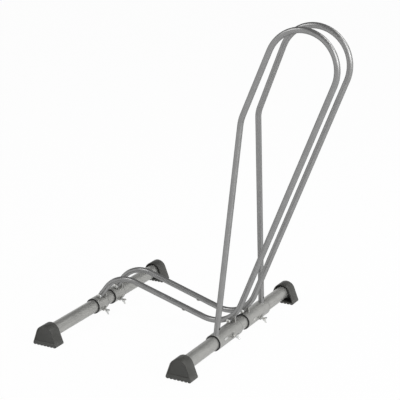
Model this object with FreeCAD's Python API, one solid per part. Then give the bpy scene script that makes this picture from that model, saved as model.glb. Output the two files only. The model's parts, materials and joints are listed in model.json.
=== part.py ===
"""Floor bike rack: two sliding hoop frames on two footed base tubes.

A wheel stands between the two hoop frames.  Each frame is a bent hoop tube with an arch rail
plugged into its front end, and rides on both base tubes on bushed sleeves that are clamped by
wing screws, so that the gap between the hoops can be set to the tyre.

Frame of the model: +Z up, the floor at Z = 0, the middle of the base tubes at Y = 0, the wheel
plane at Y = FRAME_SHIFT, the hoops leaning towards +X, the arches towards -X.  The origin is at
the bottom centre of the overall box.
Lengths are in millimetres, angles in degrees.
"""
import FreeCAD
import Part
import math
import os

Vec = FreeCAD.Vector

# Base tubes and their layout
BASE_SPACING = 324.0         # rear base axis to front base axis
AXIS_HEIGHT = 24.0           # base axes above the floor
REAR_BASE_LENGTH = 470.0     # over the feet
FRONT_BASE_LENGTH = 444.0    # over the feet
BASE_OD = 28.0
BASE_WALL = 1.5

# Moulded feet
FOOT_DEPTH = 27.0            # along the base tube
FOOT_WALL = 2.0
FOOT_GAP = 3.5               # open ring between the tube and the crown of the foot
FOOT_FLARE = 20.5            # lean of the sides from the vertical
FOOT_CORNER = 3.5            # rounding of the two floor corners
FOOT_PANEL = 3.0             # closed outer face
PANEL_RECESS = 1.0
PANEL_MARGIN = 2.5           # raised border round the recess
BAND_HEIGHT = 10.0           # plain band below the recess
SOLE_THICKNESS = 4.5
GROOVE_COUNT = 6
GROOVE_WIDTH = 3.4
GROOVE_DEPTH = 2.2
SOCKET_WALL = 1.8            # ring that grips the tube end
SOCKET_SET_BACK = 9.0        # from the open rim to the socket and its ribs
RIB_THICKNESS = 2.0
FOOT_FIT = 0.05              # radial

# Sleeves and bushes
SLIDE_CLEARANCE = 0.1        # radial, bush on base tube
BUSH_WALL = 1.4
SLEEVE_WALL = 1.5
FLANGE_THICKNESS = 1.0       # end of a bush, flush with its sleeve all round
REAR_BUSH_DEPTH = 34.0
FRONT_BUSH_DEPTH = 8.0
REAR_OVERHANG = 12.3         # rear sleeve beyond its two hoop seats, each end
REAR_SLEEVE_INSET = 3.0      # sleeve middle from the middle of its seats, towards the wheel
REAR_SLEEVE_SHIFT = 4.4      # and then towards +Y, on both frames
FRONT_SLEEVE_LENGTH = 37.2
FRONT_SLEEVE_SHIFT = -2.0

# Hoop tube, near side mirrored to the far side.  X is counted from the rear base axis, and Y of
# the frames from the wheel plane.
FRAME_SHIFT = 6.0            # wheel plane from the middle of the base tubes, at rest
TUBE_OD = 12.0
TUBE_WALL = 1.2
LEG_FOOT_X = 3.1             # where the line of the leg meets the height of the base axis
LEG_FOOT_Y = 100.0
KNEE_X = 30.5
KNEE_Y = 36.2
KNEE_Z = 468.8
KNEE_RADIUS = 60.0
HOOP_LEAN = 22.93            # of both upper runs, from the vertical
CROWN_HEIGHT = 650.0         # top of the centreline
CROWN_RADIUS = 71.5
CROWN_FLAT = 0.6             # straight between the two quarter bends
CROWN_FRONT_Y = 27.3
CROWN_BACK_Y = 29.1
VALLEY_Y = 29.6
VALLEY_RADIUS = 73.4
RAIL_SLOPE = 16.07
RAIL_HEIGHT = 23.8           # line of the rail where it crosses the rear base axis

# Arch rail
SEAM_X = -138.6
ARCH_Y = 31.8
ARCH_RADIUS = 69.2
ARCH_ANGLE = 52.55           # of the arch leg, from the horizontal
ARCH_FOOT_X = 3.1            # a point on the arch leg, from the front base axis
ARCH_FOOT_RISE = 14.0
SPIGOT_LENGTH = 42.0
SPIGOT_FIT = 0.1             # radial
SPIGOT_WALL = 1.2
SWAGE_LENGTH = 3.0

# Bolts, nuts, tabs and pegs
BOLT_RADIUS = 2.5
BOLT_HEAD_RADIUS = 4.75
BOLT_HEAD_HEIGHT = 3.2
HEAD_RIM_SHARE = 0.3         # of the head's height
HEAD_TOP_SHARE = 0.6         # of the head's radius
BOLT_HOLE_FIT = 0.1          # radial
THREAD_FIT = 0.05            # radial
NUT_ACROSS_FLATS = 8.0
NUT_HEIGHT = 3.5
BOLT_TAIL = 1.0              # thread showing past the nut
TAB_THICKNESS = 3.0
TAB_RADIUS = 8.5
BOSS_RADIUS = 4.5            # cross tube welded into the valley of the hoop
BOSS_PROUD = 0.6             # boss beyond the tube, each end
BOSS_DROP = 5.0              # boss axis below the axis of the tube
BOSS_TURN = 31.9             # place of the boss round the valley bend, from straight down
ARCH_BOLT_RISE = 22.2        # bolt of the arch foot from the front base axis
PEG_FIT = 0.15               # radial, peg in the bore of the leg
PEG_ABOVE_SCREW = 8.0
LEG_SCREW_RISE = 30.0        # above the base axis
RAIL_SCREW_RADIUS = 2.0
RAIL_SCREW_HEAD_RADIUS = 4.0
RAIL_SCREW_HEAD_HEIGHT = 2.2
RAIL_SCREW_FROM_SEAM = 31.0
LEG_SCREW_RADIUS = 2.5       # socket set screw that locks the leg on its peg
LEG_SCREW_RECESS = 0.6       # below the surface of the leg
KEY_LENGTH = 14.0            # oblong key that holds the bush in the rear sleeve
KEY_WIDTH = 4.0
KEY_HEIGHT = 1.0
KEY_RIM = 0.6                # head of the key over its slot, all round
KEY_FIT = 0.05
KEY_FROM_END = 25.0
KEY_ANGLES = {-1: 15.0, 1: 3.0}  # near and far frame

# Wing screws and their weld nuts
SCREW_RADIUS = 3.0
SCREW_CLEARANCE = 0.08       # radial, screw in its weld nut
SCREW_BACK_OFF = 0.4         # tip from the base tube
SCREW_HOLE_GAP = 0.4         # radial, hole in the sleeve
WELD_NUT_ACROSS_FLATS = 10.0
WELD_NUT_HEIGHT = 3.0
SCREW_FREE_LENGTH = 5.0      # shank between the weld nut and the hub
HUB_RADIUS = 4.2
HUB_HEIGHT = 4.0
WING_SPAN = 15.0
WING_HEIGHT = 8.0
WING_THICKNESS = 2.4
WING_ROUNDING = 0.8
WING_TURN = 20.0             # rest turn about the screw's own axis
REAR_SCREW_FROM_END = 52.5
REAR_SCREW_ANGLES = {-1: 2.0, 1: -18.0}
FRONT_SCREW_FROM_END = 20.0
FRONT_SCREW_ANGLES = {-1: -30.0, 1: -26.0}

# Sizes that follow from the ones above
BASE_R = BASE_OD / 2
TUBE_R = TUBE_OD / 2
BORE_R = TUBE_R - TUBE_WALL
BUSH_BORE_R = BASE_R + SLIDE_CLEARANCE
SLEEVE_BORE_R = BUSH_BORE_R + BUSH_WALL
SLEEVE_R = SLEEVE_BORE_R + SLEEVE_WALL
CROWN_R = BASE_R + FOOT_GAP + FOOT_WALL
FRONT_X = -BASE_SPACING
FLARE = math.radians(FOOT_FLARE)
FOOT_HALF_SOLE = CROWN_R * math.cos(FLARE) + (AXIS_HEIGHT + CROWN_R * math.sin(FLARE)) * math.tan(FLARE)
CORNER_HALF_TURN = (math.pi / 2 - FLARE) / 2
FOOT_HALF_WIDTH = FOOT_HALF_SOLE - FOOT_CORNER / math.tan(CORNER_HALF_TURN) + FOOT_CORNER
LEAN = math.radians(HOOP_LEAN)
SLOPE = math.radians(RAIL_SLOPE)
TUBE_AXIS = Vec(0, 1, 0)
UP = Vec(0, 0, 1)


# ---------------------------------------------------------------- geometry helpers

def rounded(points, radii, closed=False):
    """Edges through the points, with an arc of the given radius at each corner."""
    count = len(points)
    corners = range(count) if closed else range(1, count - 1)
    pieces = {}
    for index in corners:
        corner = points[index]
        back = (points[index - 1] - corner).normalize()
        ahead = (points[(index + 1) % count] - corner).normalize()
        half = back.getAngle(ahead) / 2
        radius = radii[index]
        reach = radius / math.tan(half)
        inward = (back + ahead).normalize()
        middle = corner + inward * (radius / math.sin(half) - radius)
        pieces[index] = (corner + back * reach, middle, corner + ahead * reach)
    edges = []
    spans = range(count) if closed else range(count - 1)
    for index in spans:
        follower = (index + 1) % count
        start = pieces[index][2] if index in pieces else points[index]
        end = pieces[follower][0] if follower in pieces else points[follower]
        if (end - start).Length > 1e-6:
            edges.append(Part.LineSegment(start, end).toShape())
        if follower in pieces:
            edges.append(Part.Arc(*pieces[follower]).toShape())
    return edges


def sweep(edges, radius):
    """Round bar along a chain of edges."""
    path = Part.Wire(edges)
    first = edges[0]
    start = first.valueAt(first.FirstParameter)
    along = first.tangentAt(first.FirstParameter)
    profile = Part.Wire(Part.makeCircle(radius, start, along))
    return path.makePipeShell([profile], True, False)


def rod(start, direction, radius, length):
    """Round bar from a point along a direction."""
    return Part.makeCylinder(radius, length, start, direction)


def ring(start, direction, outer, inner, length):
    """Round tube from a point along a direction."""
    return rod(start, direction, outer, length).cut(rod(start, direction, inner, length))


def button(start, direction, radius, height):
    """Button head with its flat side at the start point: a short rim and a tapered top."""
    rim = height * HEAD_RIM_SHARE
    base = rod(start, direction, radius, rim)
    top = Part.makeCone(radius, radius * HEAD_TOP_SHARE, height - rim, start + direction * rim, direction)
    return base.fuse(top)


def hexagon(start, direction, across_flats, height):
    """Hexagonal prism from a point along a direction."""
    side = UP.cross(direction)
    side.normalize()
    corner = side * (across_flats / math.sqrt(3))
    turn = [FreeCAD.Rotation(direction, 60 * step) for step in range(7)]
    outline = Part.makePolygon([start + rotation.multVec(corner) for rotation in turn])
    return Part.Face(outline).extrude(direction * height)


def base_cylinder(axis_x, radius):
    """Endless cylinder round one base axis, for seats and cut-outs."""
    length = max(REAR_BASE_LENGTH, FRONT_BASE_LENGTH)
    return rod(Vec(axis_x, -length / 2, AXIS_HEIGHT), TUBE_AXIS, radius, length)


def radial(angle):
    """Direction square to a base axis, at an angle above +X."""
    return Vec(math.cos(math.radians(angle)), 0, math.sin(math.radians(angle)))


# ---------------------------------------------------------------- base tubes and feet

def base_tube(axis_x, length):
    """Plain round tube whose ends stand on the outer faces of the two feet."""
    span = length - 2 * FOOT_PANEL
    return ring(Vec(axis_x, -span / 2, AXIS_HEIGHT), TUBE_AXIS, BASE_R, BASE_R - BASE_WALL, span)


def foot_block(inset, bottom, depth):
    """Foot outline drawn in by the inset, cut off at a height, and made this deep along +Y."""
    crown = CROWN_R - inset
    apex = AXIS_HEIGHT + crown / math.sin(FLARE)
    half = apex * math.tan(FLARE)
    points = [Vec(-half, 0, 0), Vec(half, 0, 0), Vec(0, 0, apex)]
    corner = max(FOOT_CORNER - inset, 0.5)
    face = Part.Face(Part.Wire(rounded(points, [corner, corner, crown], closed=True)))
    block = face.extrude(TUBE_AXIS * depth)
    if bottom > 0:
        block = block.cut(Part.makeBox(2 * half, depth, bottom, Vec(-half, 0, 0)))
    return block


def sole_grooves():
    """V grooves across the sole, evenly spaced between its two corners."""
    pitch = 2 * FOOT_HALF_WIDTH / (GROOVE_COUNT + 1)
    grooves = []
    for index in range(GROOVE_COUNT):
        middle = pitch * (index + 1) - FOOT_HALF_WIDTH
        left = Vec(middle - GROOVE_WIDTH / 2, 0, 0)
        right = Vec(middle + GROOVE_WIDTH / 2, 0, 0)
        top = Vec(middle, 0, GROOVE_DEPTH)
        outline = Part.makePolygon([left, right, top, left])
        grooves.append(Part.Face(outline).extrude(TUBE_AXIS * FOOT_DEPTH))
    return grooves


def foot(axis_x, length, side):
    """Moulded foot: a flared shell closed on its outer face, with a ribbed socket inside."""
    hollow_depth = FOOT_DEPTH - FOOT_PANEL
    shell = foot_block(0, 0, FOOT_DEPTH)
    hollow = foot_block(FOOT_WALL, SOLE_THICKNESS, hollow_depth)
    shell = shell.cut(hollow)
    grip = hollow_depth - SOCKET_SET_BACK
    inside = Vec(0, SOCKET_SET_BACK, AXIS_HEIGHT)
    socket = rod(inside, TUBE_AXIS, BASE_R + FOOT_FIT + SOCKET_WALL, grip)
    tall = Part.makeBox(RIB_THICKNESS, grip, 2 * AXIS_HEIGHT, Vec(-RIB_THICKNESS / 2, SOCKET_SET_BACK, 0))
    wide = Part.makeBox(2 * FOOT_HALF_SOLE, grip, RIB_THICKNESS,
                        Vec(-FOOT_HALF_SOLE, SOCKET_SET_BACK, AXIS_HEIGHT - RIB_THICKNESS / 2))
    ribs = foot_block(FOOT_WALL / 2, SOLE_THICKNESS / 2, FOOT_DEPTH - FOOT_PANEL / 2).common(tall.fuse(wide))
    shell = shell.fuse([socket, ribs])
    shell = shell.cut(rod(Vec(0, 0, AXIS_HEIGHT), TUBE_AXIS, BASE_R + FOOT_FIT, hollow_depth))
    recess = foot_block(PANEL_MARGIN, BAND_HEIGHT, PANEL_RECESS)
    recess.translate(Vec(0, FOOT_DEPTH - PANEL_RECESS, 0))
    shell = shell.cut([recess] + sole_grooves())
    shell.translate(Vec(axis_x, length / 2 - FOOT_DEPTH, 0))
    if side < 0:
        shell = shell.mirror(Vec(0, 0, 0), TUBE_AXIS)
    return shell.removeSplitter()


# ---------------------------------------------------------------- lines of the tubes

def hoop_points(side):
    """Corner points of the hoop tube, from the leg foot to the seam in the rail."""
    rise = Vec(math.sin(LEAN), 0, math.cos(LEAN))
    across = Vec(math.cos(LEAN), 0, -math.sin(LEAN))
    knee = Vec(KNEE_X, 0, KNEE_Z)
    half_width = CROWN_RADIUS + CROWN_FLAT / 2
    centre = knee + across * half_width
    climb = (CROWN_HEIGHT - CROWN_RADIUS - CROWN_FLAT / 2 * math.sin(LEAN) - centre.z) / rise.z
    crown_front = knee + rise * (climb + CROWN_RADIUS)
    crown_back = crown_front + across * (2 * half_width)
    fall = (RAIL_HEIGHT - crown_back.x * math.tan(SLOPE) - crown_back.z)
    fall = fall / (rise.z + rise.x * math.tan(SLOPE))
    valley = crown_back + rise * fall
    foot_point = Vec(LEG_FOOT_X, side * LEG_FOOT_Y, AXIS_HEIGHT)
    knee.y = side * KNEE_Y
    crown_front.y = side * CROWN_FRONT_Y
    crown_back.y = side * CROWN_BACK_Y
    valley.y = side * VALLEY_Y
    return [foot_point, knee, crown_front, crown_back, valley, seam_point(side, valley)]


def arch_corner(side):
    """Corner where the rail turns down into the arch leg."""
    low = Vec(FRONT_X + ARCH_FOOT_X, 0, AXIS_HEIGHT + ARCH_FOOT_RISE)
    steep = math.tan(math.radians(ARCH_ANGLE))
    x = (low.z - steep * low.x - RAIL_HEIGHT) / (-math.tan(SLOPE) - steep)
    return Vec(x, side * ARCH_Y, RAIL_HEIGHT - x * math.tan(SLOPE))


def seam_point(side, valley):
    """Point of the rail's line where the arch rail is plugged into the hoop tube."""
    corner = arch_corner(side)
    return valley + (corner - valley) * ((SEAM_X - valley.x) / (corner.x - valley.x))


def arch_leg_direction():
    """Direction of the arch leg, upwards."""
    angle = math.radians(ARCH_ANGLE)
    return Vec(math.cos(angle), 0, math.sin(angle))


def arch_points(side):
    """Corner points of the arch rail, from the seam to inside the front sleeve."""
    low = Vec(FRONT_X + ARCH_FOOT_X, side * ARCH_Y, AXIS_HEIGHT + ARCH_FOOT_RISE)
    return [hoop_points(side)[5], arch_corner(side), low - arch_leg_direction() * TUBE_OD]


def rail_direction(side):
    """Direction of the rail, from the arch back towards the valley."""
    points = hoop_points(side)
    return (points[4] - points[5]).normalize()


# ---------------------------------------------------------------- places of the fasteners

def valley_bolt_centre(side):
    """Centre of the boss low in the valley bend of the hoop."""
    points = hoop_points(side)
    corner = points[4]
    back = Vec(math.sin(LEAN), 0, math.cos(LEAN))
    ahead = Vec(-math.cos(SLOPE), 0, math.sin(SLOPE))
    half = back.getAngle(ahead) / 2
    centre = corner + (back + ahead).normalize() * (VALLEY_RADIUS / math.sin(half))
    turn = math.radians(BOSS_TURN)
    reach = VALLEY_RADIUS + BOSS_DROP
    return centre + Vec(math.sin(turn), 0, -math.cos(turn)) * reach


def arch_bolt_centre(side):
    """Point of the arch leg's line at the bolt's distance from the front base axis."""
    points = arch_points(side)
    direction = arch_leg_direction()
    from_axis = points[2] - Vec(FRONT_X, points[2].y, AXIS_HEIGHT)
    along = from_axis.dot(direction)
    offset = from_axis.dot(from_axis) - along ** 2
    return points[2] + direction * (math.sqrt(ARCH_BOLT_RISE ** 2 - offset) - along)


def leg_line(side):
    """Foot point and upward direction of the hoop's leg."""
    points = hoop_points(side)
    return points[0], (points[1] - points[0]).normalize()


def leg_screw(side):
    """Point on the leg's line and outward direction of the set screw in it, towards +X."""
    foot_point, up = leg_line(side)
    centre = foot_point + up * (LEG_SCREW_RISE / up.z)
    return centre, TUBE_AXIS.cross(up).normalize()


def rail_screw(side):
    """Centre on the rail's line and outward direction of the screw under the rail."""
    along = rail_direction(side)
    centre = hoop_points(side)[5] + along * RAIL_SCREW_FROM_SEAM
    down = along.cross(TUBE_AXIS).normalize()
    if down.z > 0:
        down = down * -1
    return centre, down


def rear_sleeve_ends(side):
    """Ends of the rear sleeve over its flanges."""
    middle = side * ((LEG_FOOT_Y + VALLEY_Y) / 2 - REAR_SLEEVE_INSET) + REAR_SLEEVE_SHIFT
    half = (LEG_FOOT_Y - VALLEY_Y) / 2 + REAR_OVERHANG
    return middle - half, middle + half


def front_sleeve_ends(side):
    """Ends of the front sleeve over its flanges."""
    middle = side * ARCH_Y + FRONT_SLEEVE_SHIFT
    return middle - FRONT_SLEEVE_LENGTH / 2, middle + FRONT_SLEEVE_LENGTH / 2


def screw_places(side):
    """Axis X, Y and angle of the rear and the front wing screw."""
    rear = (0.0, rear_sleeve_ends(side)[0] + REAR_SCREW_FROM_END, REAR_SCREW_ANGLES[side])
    front = (FRONT_X, front_sleeve_ends(side)[0] + FRONT_SCREW_FROM_END, FRONT_SCREW_ANGLES[side])
    return rear, front


# ---------------------------------------------------------------- sleeves and bushes

def tab(axis_x, eye, start_y):
    """Upright tab on a sleeve, with a round eye for the bolt, from start_y towards +Y."""
    outward = Vec(eye.x - axis_x, 0, eye.z - AXIS_HEIGHT)
    reach = outward.Length
    plate = Part.makeBox(reach, TAB_THICKNESS, 2 * TAB_RADIUS, Vec(0, start_y, -TAB_RADIUS))
    plate.rotate(Vec(0, 0, 0), TUBE_AXIS, -math.degrees(math.atan2(outward.z, outward.x)))
    plate.translate(Vec(axis_x, 0, AXIS_HEIGHT))
    middle = Vec(eye.x, start_y, eye.z)
    plate = plate.fuse(rod(middle, TUBE_AXIS, TAB_RADIUS, TAB_THICKNESS))
    return plate.cut(rod(middle, TUBE_AXIS, BOLT_RADIUS + BOLT_HOLE_FIT, TAB_THICKNESS))


def sleeve(axis_x, ends, extras, holes):
    """Steel sleeve between two bush flanges, with what is welded on and its cross holes."""
    start = Vec(axis_x, ends[0] + FLANGE_THICKNESS, AXIS_HEIGHT)
    length = ends[1] - ends[0] - 2 * FLANGE_THICKNESS
    body = rod(start, TUBE_AXIS, SLEEVE_R, length).fuse(extras)
    body = body.cut([base_cylinder(axis_x, SLEEVE_BORE_R)] + holes)
    return body.removeSplitter()


def screw_hole(place):
    """Cutter for the wing screw's hole in a sleeve."""
    axis_x, y, angle = place
    radius = SCREW_RADIUS + SCREW_HOLE_GAP
    return rod(Vec(axis_x, y, AXIS_HEIGHT), radial(angle), radius, SLEEVE_R + SLEEVE_WALL)


def key_block(side, width, low, high):
    """Block with round ends along the base axis, between two distances from it, at the key."""
    half = (KEY_LENGTH - KEY_WIDTH) / 2
    body = Part.makeBox(width, 2 * half, high - low, Vec(-width / 2, -half, low))
    for end in (-half, half):
        body = body.fuse(rod(Vec(0, end, low), UP, width / 2, high - low))
    body = body.removeSplitter()
    body.rotate(Vec(0, 0, 0), TUBE_AXIS, 90 - KEY_ANGLES[side])
    body.translate(Vec(0, rear_sleeve_ends(side)[0] + KEY_FROM_END, AXIS_HEIGHT))
    return body


def key_slot(side):
    """Cutter for the key in the sleeve and the bush."""
    return key_block(side, KEY_WIDTH - 2 * KEY_RIM + 2 * KEY_FIT, BASE_R / 2, SLEEVE_R + SLEEVE_WALL)


def leg_peg(side):
    """Peg that stands up inside the leg of the hoop, with the hole for its set screw."""
    foot_point, up = leg_line(side)
    top = (LEG_SCREW_RISE + PEG_ABOVE_SCREW) / up.z
    peg = rod(foot_point, up, BORE_R - PEG_FIT, top)
    centre, across = leg_screw(side)
    return peg.cut(rod(centre, across, LEG_SCREW_RADIUS + THREAD_FIT, TUBE_OD))


def rear_sleeve(side):
    """Rear sleeve with the peg for the leg and the tab for the valley bolt."""
    eye_tab = tab(0, valley_bolt_centre(side), side * VALLEY_Y + TUBE_R + BOSS_PROUD)
    rear_place = screw_places(side)[0]
    holes = [screw_hole(rear_place), key_slot(side)]
    return sleeve(0, rear_sleeve_ends(side), [leg_peg(side), eye_tab], holes)


def front_sleeve(side):
    """Front sleeve with the tab for the arch bolt."""
    eye_tab = tab(FRONT_X, arch_bolt_centre(side), side * ARCH_Y + TUBE_R)
    front_place = screw_places(side)[1]
    return sleeve(FRONT_X, front_sleeve_ends(side), [eye_tab], [screw_hole(front_place)])


def bush(axis_x, end_y, inward, depth):
    """Flanged bush pressed into one end of a sleeve; inward is +1 or -1 along Y."""
    profile = [
        Vec(BUSH_BORE_R, 0, 0),
        Vec(SLEEVE_R, 0, 0),
        Vec(SLEEVE_R, 0, FLANGE_THICKNESS),
        Vec(SLEEVE_BORE_R, 0, FLANGE_THICKNESS),
        Vec(SLEEVE_BORE_R, 0, FLANGE_THICKNESS + depth),
        Vec(BUSH_BORE_R, 0, FLANGE_THICKNESS + depth),
    ]
    face = Part.Face(Part.makePolygon(profile + profile[:1]))
    body = face.revolve(Vec(0, 0, 0), UP, 360)
    body.rotate(Vec(0, 0, 0), Vec(1, 0, 0), -90 * inward)
    body.translate(Vec(axis_x, end_y, AXIS_HEIGHT))
    return body


def bushes(axis_x, ends, depth):
    """The two bushes of one sleeve."""
    return [bush(axis_x, ends[0], 1, depth), bush(axis_x, ends[1], -1, depth)]


# ---------------------------------------------------------------- hoop and arch rail

def hoop(side):
    """Bent hoop tube in one piece, notched onto its sleeve and drilled for its fasteners."""
    radii = [0, KNEE_RADIUS, CROWN_RADIUS, CROWN_RADIUS, VALLEY_RADIUS, 0]
    edges = rounded(hoop_points(side), radii)
    eye = valley_bolt_centre(side)
    eye.y = side * VALLEY_Y - TUBE_R - BOSS_PROUD
    boss_length = TUBE_OD + 2 * BOSS_PROUD
    boss = rod(eye, TUBE_AXIS, BOSS_RADIUS, boss_length)
    body = sweep(edges, TUBE_R).fuse(boss).cut(sweep(edges, BORE_R))
    centre, across = leg_screw(side)
    screw_centre, down = rail_screw(side)
    cutters = [
        base_cylinder(0, SLEEVE_R),
        rod(eye, TUBE_AXIS, BOLT_RADIUS + THREAD_FIT, boss_length),
        rod(centre, across, LEG_SCREW_RADIUS + THREAD_FIT, TUBE_OD),
        rod(screw_centre, down, RAIL_SCREW_RADIUS + THREAD_FIT, TUBE_OD),
    ]
    return body.cut(cutters)


def arch_rail(side):
    """Bent front tube with a swaged spigot that fills the bore of the hoop's rail."""
    points = arch_points(side)
    along = rail_direction(side)
    edges = rounded(points, [0, ARCH_RADIUS, 0])
    spigot_r = BORE_R - SPIGOT_FIT
    neck = points[0] - along * SWAGE_LENGTH
    body = sweep(edges, TUBE_R)
    body = body.fuse(rod(neck, along, spigot_r, SPIGOT_LENGTH + SWAGE_LENGTH))
    spigot_bore = rod(neck, along, spigot_r - SPIGOT_WALL, SPIGOT_LENGTH + SWAGE_LENGTH)
    taper = Part.makeCone(BORE_R, spigot_r - SPIGOT_WALL, SWAGE_LENGTH, neck - along * SWAGE_LENGTH, along)
    run = rounded([neck - along * SWAGE_LENGTH] + points[1:], [0, ARCH_RADIUS, 0])
    body = body.cut([sweep(run, BORE_R), taper, spigot_bore])
    bolt = arch_bolt_centre(side) - TUBE_AXIS * TUBE_OD
    screw_centre, down = rail_screw(side)
    cutters = [
        base_cylinder(FRONT_X, SLEEVE_R),
        rod(bolt, TUBE_AXIS, BOLT_RADIUS + BOLT_HOLE_FIT, 2 * TUBE_OD),
        rod(screw_centre, down, RAIL_SCREW_RADIUS + THREAD_FIT, TUBE_OD),
    ]
    return body.cut(cutters)


# ---------------------------------------------------------------- fasteners

def hex_nut(start, direction):
    """Plain nut on a bolt."""
    blank = hexagon(start, direction, NUT_ACROSS_FLATS, NUT_HEIGHT)
    return blank.cut(rod(start, direction, BOLT_RADIUS + THREAD_FIT, NUT_HEIGHT))


def frame_bolt(head_seat, direction, length):
    """Button-headed bolt; the direction is from the head to the nut."""
    head = button(head_seat, direction * -1, BOLT_HEAD_RADIUS, BOLT_HEAD_HEIGHT)
    return head.fuse(rod(head_seat, direction, BOLT_RADIUS, length)).removeSplitter()


def frame_bolts(side):
    """The two button-headed bolts of one frame and their nuts: valley and arch foot."""
    tail = NUT_HEIGHT + BOLT_TAIL
    bolts = []
    nuts = []
    joints = (
        (valley_bolt_centre(side), side * VALLEY_Y, TUBE_R + BOSS_PROUD),
        (arch_bolt_centre(side), side * ARCH_Y, TUBE_R),
    )
    for centre, middle, half_width in joints:
        seat = Vec(centre.x, middle - half_width, centre.z)
        grip = 2 * half_width + TAB_THICKNESS
        bolts.append(frame_bolt(seat, TUBE_AXIS, grip + tail))
        nuts.append(hex_nut(seat + TUBE_AXIS * grip, TUBE_AXIS))
    return bolts, nuts


def leg_screw_body(side):
    """Set screw through the wall of the leg into its peg, just below the surface."""
    centre, across = leg_screw(side)
    return rod(centre, across, LEG_SCREW_RADIUS, TUBE_R - LEG_SCREW_RECESS)


def rail_screw_body(side):
    """Button-headed screw up through the rail and the spigot inside it."""
    centre, down = rail_screw(side)
    seat = centre + down * TUBE_R
    head = button(seat, down, RAIL_SCREW_HEAD_RADIUS, RAIL_SCREW_HEAD_HEIGHT)
    shank = rod(centre + down * (BORE_R / 2), down, RAIL_SCREW_RADIUS, TUBE_R - BORE_R / 2)
    return head.fuse(shank).removeSplitter()


def bush_key(side):
    """Oblong key through the rear sleeve into its first bush."""
    head = key_block(side, KEY_WIDTH, SLEEVE_BORE_R, SLEEVE_R + KEY_HEIGHT)
    head = head.cut(base_cylinder(0, SLEEVE_R))
    shank = key_block(side, KEY_WIDTH - 2 * KEY_RIM, BASE_R + SCREW_BACK_OFF, SLEEVE_R + KEY_HEIGHT / 2)
    return head.fuse(shank).removeSplitter()


def weld_nut(place):
    """Hexagonal nut welded over the screw hole of a sleeve."""
    axis_x, y, angle = place
    direction = radial(angle)
    start = Vec(axis_x, y, AXIS_HEIGHT) + direction * SLEEVE_BORE_R
    height = SLEEVE_R + WELD_NUT_HEIGHT - SLEEVE_BORE_R
    blank = hexagon(start, direction, WELD_NUT_ACROSS_FLATS, height)
    bore = rod(start, direction, SCREW_RADIUS + SCREW_CLEARANCE, height)
    return blank.cut([bore, base_cylinder(axis_x, SLEEVE_R)])


def wing_screw(place):
    """Wing screw, just backed off the base tube."""
    axis_x, y, angle = place
    tip = BASE_R + SCREW_BACK_OFF
    hub = SLEEVE_R + WELD_NUT_HEIGHT + SCREW_FREE_LENGTH
    half = WING_SPAN / 2
    top = hub + WING_HEIGHT
    outline = [
        (-HUB_RADIUS, hub),
        (HUB_RADIUS, hub),
        (half, hub + WING_HEIGHT / 2),
        (half, top),
        (half / 2, top),
        (half / 4, hub + HUB_HEIGHT),
        (-half / 4, hub + HUB_HEIGHT),
        (-half / 2, top),
        (-half, top),
        (-half, hub + WING_HEIGHT / 2),
    ]
    points = [Vec(across, -WING_THICKNESS / 2, out) for across, out in outline]
    wire = Part.Wire(rounded(points, [WING_ROUNDING] * len(points), closed=True))
    wings = Part.Face(wire).extrude(TUBE_AXIS * WING_THICKNESS)
    body = rod(UP * tip, UP, SCREW_RADIUS, hub - tip)
    body = body.fuse([rod(UP * hub, UP, HUB_RADIUS, HUB_HEIGHT), wings]).removeSplitter()
    body.rotate(Vec(0, 0, 0), UP, WING_TURN)
    body.rotate(Vec(0, 0, 0), TUBE_AXIS, 90 - angle)
    body.translate(Vec(axis_x, y, AXIS_HEIGHT))
    return body


# ---------------------------------------------------------------- the rack

def origin_shift():
    """Moves the middle of the overall length to X = 0."""
    crown = hoop_points(1)
    across = (crown[3] - crown[2]).normalize()
    rise = Vec(math.sin(LEAN), 0, math.cos(LEAN))
    bend_centre = crown[3] - across * CROWN_RADIUS - rise * CROWN_RADIUS
    rear_most = bend_centre.x + CROWN_RADIUS + TUBE_R
    front_most = FRONT_X - FOOT_HALF_WIDTH
    return Vec(-(rear_most + front_most) / 2, 0, 0)


def base_nodes():
    """Two base tubes, each with a foot at both ends."""
    nodes = {}
    for name, axis_x, length in (("rear", 0.0, REAR_BASE_LENGTH), ("front", FRONT_X, FRONT_BASE_LENGTH)):
        nodes[name + "_base_tube"] = [base_tube(axis_x, length)]
        nodes[name + "_near_foot"] = [foot(axis_x, length, -1)]
        nodes[name + "_far_foot"] = [foot(axis_x, length, 1)]
    return nodes


def frame_nodes(name, side):
    """One sliding hoop frame with its sleeves, bushes and fasteners."""
    bolts, nuts = frame_bolts(side)
    rear_place, front_place = screw_places(side)
    rear_bushes = [body.cut(key_slot(side)) for body in bushes(0, rear_sleeve_ends(side), REAR_BUSH_DEPTH)]
    front_bushes = bushes(FRONT_X, front_sleeve_ends(side), FRONT_BUSH_DEPTH)
    return {
        name + "_hoop": [hoop(side)],
        name + "_arch_rail": [arch_rail(side)],
        name + "_rear_sleeve": [rear_sleeve(side)],
        name + "_front_sleeve": [front_sleeve(side)],
        name + "_bushes": rear_bushes + front_bushes,
        name + "_frame_bolts": bolts,
        name + "_frame_nuts": nuts,
        name + "_rail_screw": [rail_screw_body(side)],
        name + "_leg_screw": [leg_screw_body(side)],
        name + "_bush_key": [bush_key(side)],
        name + "_weld_nuts": [weld_nut(rear_place), weld_nut(front_place)],
        name + "_rear_wing_screw": [wing_screw(rear_place)],
        name + "_front_wing_screw": [wing_screw(front_place)],
    }


def main():
    nodes = base_nodes()
    for name, side in (("near", -1), ("far", 1)):
        for node, bodies in frame_nodes(name, side).items():
            nodes[node] = [body.translated(Vec(0, FRAME_SHIFT, 0)) for body in bodies]
    shift = origin_shift()
    os.makedirs("parts", exist_ok=True)
    for name, solids in nodes.items():
        shape = solids[0] if len(solids) == 1 else Part.makeCompound(solids)
        shape.translate(shift)
        shape.exportStep("parts/" + name + ".step")


main()
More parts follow.
